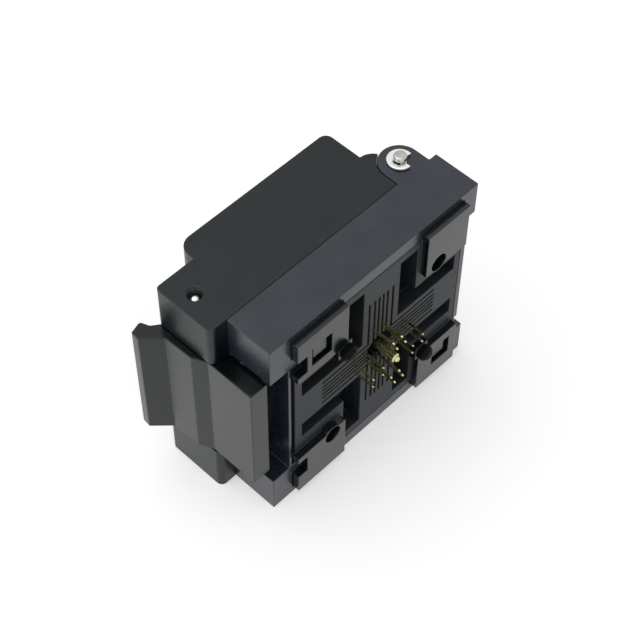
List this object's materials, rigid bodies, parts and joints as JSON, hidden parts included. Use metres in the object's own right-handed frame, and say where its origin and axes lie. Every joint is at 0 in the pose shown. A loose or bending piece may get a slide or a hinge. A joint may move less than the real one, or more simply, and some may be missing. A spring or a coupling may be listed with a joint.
{
  "type": "zero-insertion-force test socket",
  "caption": "Clamshell zero-insertion-force test socket for a square no-lead chip, with a hinged lid, a sprung latch and through-hole contact tails.",
  "frame": {"origin": "centre of the contact field and of the two board screw holes, on the surface of the board", "axes": "+X along the socket to the hinge end, +Y out of the board towards the lid, +Z across the socket; it lies on the side that faces -Z"},
  "size_m": [0.0362, 0.0195, 0.0305],
  "materials": {
    "housing_grey": "satin moulded, glass filled",
    "plate_grey": "satin moulded",
    "comb_black": "matt",
    "gold_contact": "gold flashed",
    "spring_steel": "bright wire",
    "nest_plastic": "satin moulded",
    "shaft_steel": "ground",
    "ring_steel": "bright",
    "lid_charcoal": "matt charcoal",
    "pusher_plastic": "satin moulded",
    "pusher_pad": "anodised",
    "latch_grey": "satin moulded"
  },
  "bodies": {
    "base": {"base_housing": "housing_grey", "contact_plate": "plate_grey", "contact_comb": "comb_black", "contacts_latch_side": "gold_contact", "contacts_hinge_side": "gold_contact", "contacts_left_side": "gold_contact", "contacts_right_side": "gold_contact", "ground_barrel": "gold_contact", "ground_spring": "spring_steel", "nest_springs": "spring_steel", "hinge_shaft": "shaft_steel", "retaining_ring": "ring_steel", "hinge_spring_left": "spring_steel", "hinge_spring_right": "spring_steel"},
    "nest": {"nest": "nest_plastic"},
    "ground_plunger": {"ground_plunger": "gold_contact"},
    "lid": {"lid_housing": "lid_charcoal", "pusher_pins": "shaft_steel", "pusher_springs": "spring_steel", "latch_pin": "shaft_steel", "latch_spring": "spring_steel"},
    "pusher": {"pusher": "pusher_plastic", "pusher_tip": "pusher_pad"},
    "latch": {"latch": "latch_grey"}
  },
  "joints": [
    {"name": "lid_hinge", "type": "hinge", "parent": "base", "child": "lid", "pos_m": [0.0111, 0.0089, 0], "axis": [0, 0, -1], "range_deg": [0, 95], "deforming": ["hinge_spring_left", "hinge_spring_right"]},
    {"name": "latch_pivot", "type": "hinge", "parent": "lid", "child": "latch", "pos_m": [-0.0164, 0.01155, 0], "axis": [0, 0, -1], "range_deg": [0, 14], "stiffness_Nm_per_rad": 0.02, "springref_deg": -11.46, "deforming": ["latch_spring"]},
    {"name": "pusher_slide", "type": "slide", "parent": "lid", "child": "pusher", "axis": [0, 1, 0], "range_m": [0, 0.0005], "stiffness_N_per_m": 4000, "springref_m": -0.0005, "deforming": ["pusher_springs"]},
    {"name": "nest_slide", "type": "slide", "parent": "base", "child": "nest", "axis": [0, -1, 0], "range_m": [0, 0.0004], "stiffness_N_per_m": 1500, "springref_m": -0.0005, "deforming": ["nest_springs"]},
    {"name": "plunger_slide", "type": "slide", "parent": "base", "child": "ground_plunger", "axis": [0, -1, 0], "range_m": [0, 0.0004], "stiffness_N_per_m": 500, "springref_m": -0.0004, "deforming": ["ground_spring"]}
  ]
}
